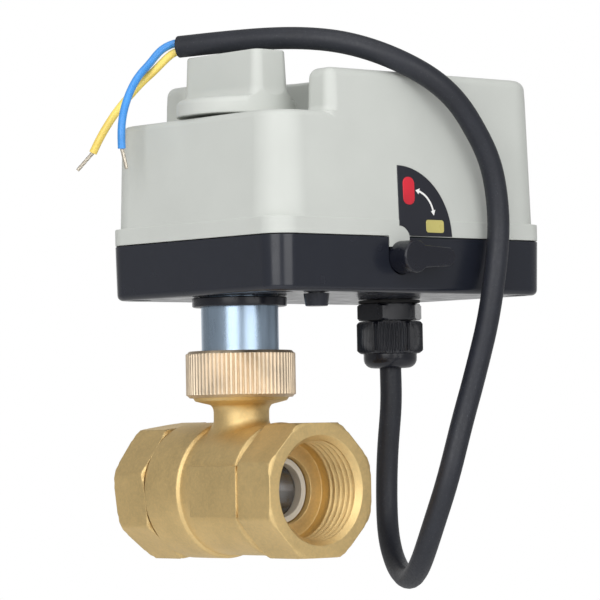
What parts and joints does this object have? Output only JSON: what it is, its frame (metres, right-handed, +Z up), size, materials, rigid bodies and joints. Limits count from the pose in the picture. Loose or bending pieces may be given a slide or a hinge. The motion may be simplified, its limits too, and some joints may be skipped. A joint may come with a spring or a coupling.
{
  "type": "motorized ball valve actuator",
  "caption": "Box-shaped electric actuator with a hand knob and manual lever, clamped by a knurled union nut on a threaded brass ball valve, with a free lead.",
  "frame": {"origin": "point where the valve's bore axis crosses the actuator's stem axis", "axes": "+Z up along the stem towards the actuator, bore along Y with the union port at +Y, housing's long end towards +X, lever and label face at -Y"},
  "size_m": [0.1285, 0.0983, 0.1759],
  "materials": {
    "cover_plastic": "satin moulded",
    "base_plastic": "satin moulded",
    "black_plastic": "satin",
    "label_print": "smooth film",
    "red_print": "printed film",
    "yellow_print": "printed film",
    "white_print": "printed film",
    "valve_brass": "cast, machined ends",
    "nut_brass": "bright knurled",
    "chromed_ball": "polished",
    "seat_ptfe": "waxy white",
    "zinc_steel": "blue zinc plate",
    "steel": "plain",
    "bronze": "sintered",
    "gear_plastic": "moulded",
    "seal_rubber": "matte",
    "circuit": "solder mask",
    "terminal_plastic": "moulded",
    "cable_jacket": "PVC jacket, satin",
    "blue_insulation": "PVC insulation",
    "yellow_insulation": "PVC insulation",
    "tinned_copper": "tinned strands"
  },
  "bodies": {
    "housing": {"cover": "cover_plastic", "base_shell": "base_plastic", "locating_peg": "base_plastic", "mounting_collar": "black_plastic", "gland_body": "black_plastic", "gland_nut": "black_plastic", "gland_locknut": "black_plastic", "microswitch_open": "black_plastic", "microswitch_closed": "black_plastic", "label_plate": "label_print", "red_marker": "red_print", "yellow_marker": "yellow_print", "arrow_mark": "white_print", "valve_body": "valve_brass", "end_piece": "valve_brass", "seat_near": "seat_ptfe", "seat_far": "seat_ptfe", "stem_washer": "seat_ptfe", "sleeve": "zinc_steel", "motor_gearbox": "zinc_steel", "motor_can": "zinc_steel", "sleeve_locknut": "steel", "cover_screw_1": "steel", "cover_screw_2": "steel", "cover_screw_3": "steel", "cover_screw_4": "steel", "gear_plate": "steel", "plate_screw_1": "steel", "plate_screw_2": "steel", "idler_axle": "steel", "motor_screw_1": "steel", "motor_screw_2": "steel", "lower_bushing": "bronze", "upper_bushing": "bronze", "cover_gasket": "seal_rubber", "knob_seal": "seal_rubber", "gland_washer": "seal_rubber", "gland_seal": "seal_rubber", "pcb": "circuit", "terminal_block": "terminal_plastic", "cable": "cable_jacket", "cable_inner": "cable_jacket", "core_blue": "blue_insulation", "core_yellow": "yellow_insulation", "tip_blue": "tinned_copper", "tip_yellow": "tinned_copper"},
    "output_drive": {"output_shaft": "steel", "hand_knob": "cover_plastic", "output_gear": "gear_plastic", "cam_open": "gear_plastic", "cam_closed": "gear_plastic", "drive_coupling": "steel"},
    "ball_and_stem": {"valve_stem": "valve_brass", "valve_ball": "chromed_ball", "stem_oring": "seal_rubber"},
    "idler": {"idler_gear": "gear_plastic"},
    "pinion": {"motor_pinion": "steel"},
    "lever": {"manual_lever": "black_plastic"},
    "fork": {"shift_fork": "steel"},
    "nut": {"union_nut": "nut_brass"}
  },
  "joints": [
    {"name": "output_turn", "type": "hinge", "parent": "housing", "child": "output_drive", "pos_m": [0, 0, 0.09], "axis": [0, 0, 1], "range_deg": [0, 90]},
    {"name": "ball_turn", "type": "hinge", "parent": "housing", "child": "ball_and_stem", "pos_m": [0, 0, 0], "axis": [0, 0, 1], "range_deg": [-1, 93]},
    {"name": "fork_lift", "type": "slide", "parent": "housing", "child": "fork", "axis": [0, 0, 1], "range_m": [0, 0.0045]},
    {"name": "idler_turn", "type": "hinge", "parent": "fork", "child": "idler", "pos_m": [0.021, 0, 0.087], "axis": [0, 0, 1], "range_deg": [-232, 3]},
    {"name": "pinion_turn", "type": "hinge", "parent": "housing", "child": "pinion", "pos_m": [0.0405, 0, 0.093], "axis": [0, 0, 1], "range_deg": [-3, 370]},
    {"name": "lever_turn", "type": "hinge", "parent": "housing", "child": "lever", "pos_m": [0.0304, 0, 0.071], "axis": [0, -1, 0], "range_deg": [-1, 94]},
    {"name": "nut_turn", "type": "hinge", "parent": "housing", "child": "nut", "pos_m": [0, 0, 0.036], "axis": [0, 0, 1], "continuous": true}
  ],
  "couplings": [
    {"joint": "ball_turn", "follows": "output_turn", "ratio": 1},
    {"joint": "idler_turn", "follows": "output_turn", "ratio": -2.5},
    {"joint": "pinion_turn", "follows": "output_turn", "ratio": 4},
    {"joint": "lever_turn", "follows": "fork_lift", "rad_per_m": 349.07}
  ]
}
